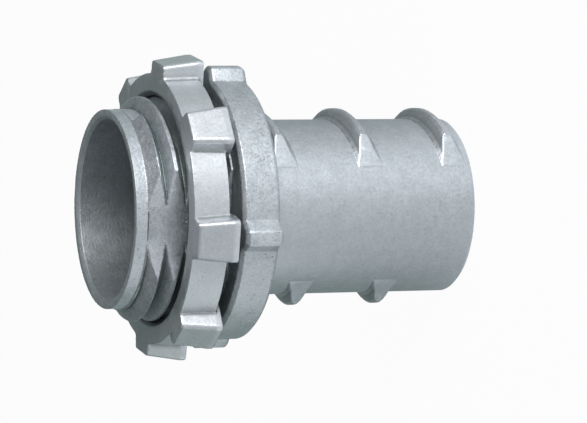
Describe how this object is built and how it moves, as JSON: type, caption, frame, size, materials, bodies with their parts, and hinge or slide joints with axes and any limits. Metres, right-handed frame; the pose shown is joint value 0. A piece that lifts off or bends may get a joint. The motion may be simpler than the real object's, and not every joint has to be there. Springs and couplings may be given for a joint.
{
  "type": "screw-in flex connector",
  "caption": "Die-cast screw-in connector for flexible metal conduit: ribbed spigot, lugged shoulder and male thread with a free-running lugged locknut.",
  "frame": {"origin": "centre of the spigot's end face, which the part stands on", "axes": "+Z along the bore from the spigot end to the male end; +X and +Y through two neighbouring wrench lugs of the shoulder"},
  "size_m": [0.0286, 0.0286, 0.0342],
  "materials": {
    "body_casting": "matte as-cast zinc alloy with a fine grain",
    "locknut_casting": "satin as-cast zinc alloy, a little smoother than the body"
  },
  "bodies": {
    "body": {"connector_body": "body_casting"},
    "nut": {"locknut": "locknut_casting"}
  },
  "joints": [
    {"name": "locknut_turn", "type": "hinge", "parent": "body", "child": "nut", "pos_m": [0, 0, 0.028], "axis": [0, 0, 1], "range_deg": [-188, 1270]}
  ]
}
